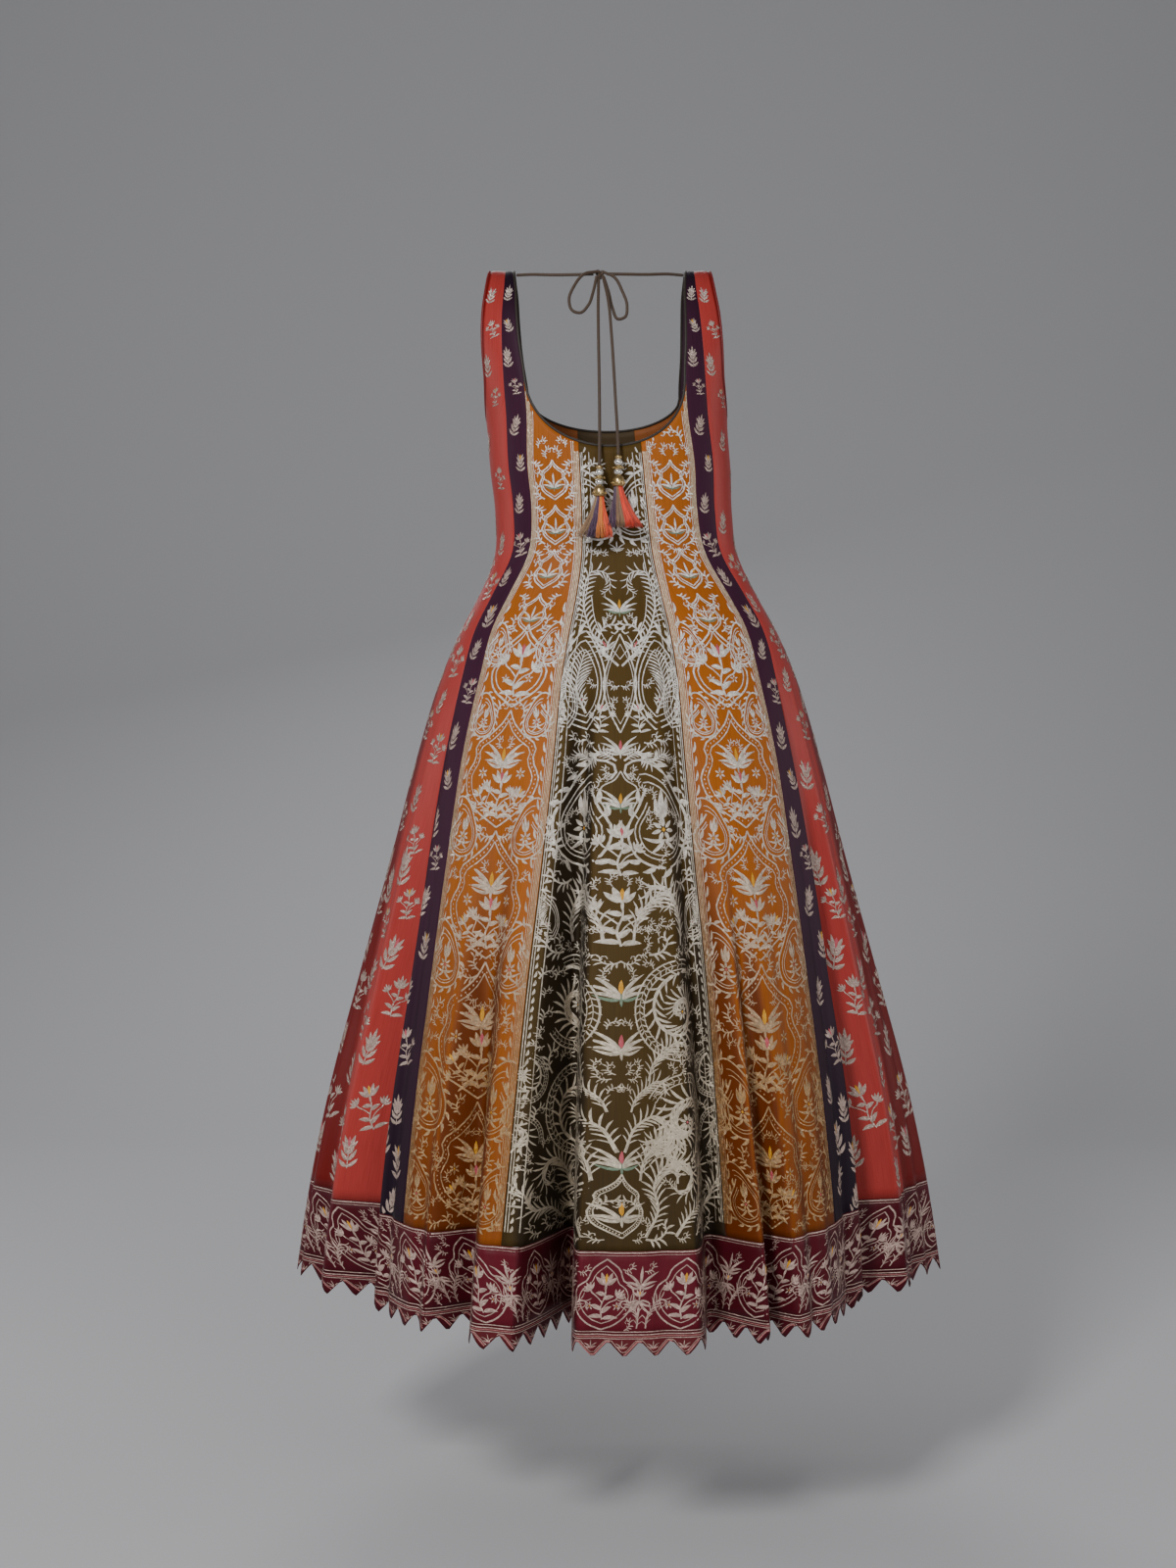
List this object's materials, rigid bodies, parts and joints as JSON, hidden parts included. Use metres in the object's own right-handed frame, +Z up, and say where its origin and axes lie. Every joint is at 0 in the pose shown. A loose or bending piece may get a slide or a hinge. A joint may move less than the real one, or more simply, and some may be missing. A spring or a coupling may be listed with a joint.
{
  "type": "anarkali gown",
  "caption": "Sleeveless strappy floor-length gown of tapering brocade panels with a fitted bodice, flared skirt, bordered pointed hem and a tasselled back tie",
  "frame": {"origin": "midway between the tops of the two shoulder straps, where the wearer's shoulders hold the gown", "axes": "+Z up, +Y towards the wearer's back, +X towards the wearer's left"},
  "size_m": [0.8006, 0.7539, 1.2468],
  "materials": {
    "olive_brocade": "olive-brown silk with dense silver-gold zari scrollwork",
    "orange_brocade": "mustard-orange silk with silver zari arches and paisleys",
    "purple_brocade": "aubergine silk with small silver floral sprigs",
    "coral_brocade": "coral and red shot silk with silver floral sprigs",
    "border_brocade": "rose-maroon silk border with silver zari frames and posies",
    "edge_piping": "thin dark bias piping",
    "tie_cloth": "rolled brown cloth cord",
    "beads": "small gilt caps and faceted beads",
    "tassel_silk": "loose silk floss in red, orange, brown and dark purple"
  },
  "bodies": {
    "root": {"panel_back_centre": "olive_brocade", "panel_front_centre": "olive_brocade", "panel_back_orange_left": "orange_brocade", "panel_back_orange_right": "orange_brocade", "panel_back_purple_left": "purple_brocade", "panel_back_purple_right": "purple_brocade", "panel_back_coral_left": "coral_brocade", "panel_back_coral_right": "coral_brocade", "panel_front_orange_left": "orange_brocade", "panel_front_orange_right": "orange_brocade", "panel_front_purple_left": "purple_brocade", "panel_front_purple_right": "purple_brocade", "panel_front_coral_left": "coral_brocade", "panel_front_coral_right": "coral_brocade", "hem_border_back": "border_brocade", "hem_border_front": "border_brocade", "hem_points_back": "border_brocade", "hem_points_front": "border_brocade", "neck_binding": "edge_piping", "armhole_binding_left": "edge_piping", "armhole_binding_right": "edge_piping", "tie_left": "tie_cloth", "tie_right": "tie_cloth", "bow_knot": "tie_cloth", "bow_left": "tie_cloth", "bow_right": "tie_cloth", "tail_left": "tie_cloth", "tail_right": "tie_cloth", "beads_left": "beads", "beads_right": "beads", "tassel_left": "tassel_silk", "tassel_right": "tassel_silk"}
  },
  "joints": []
}
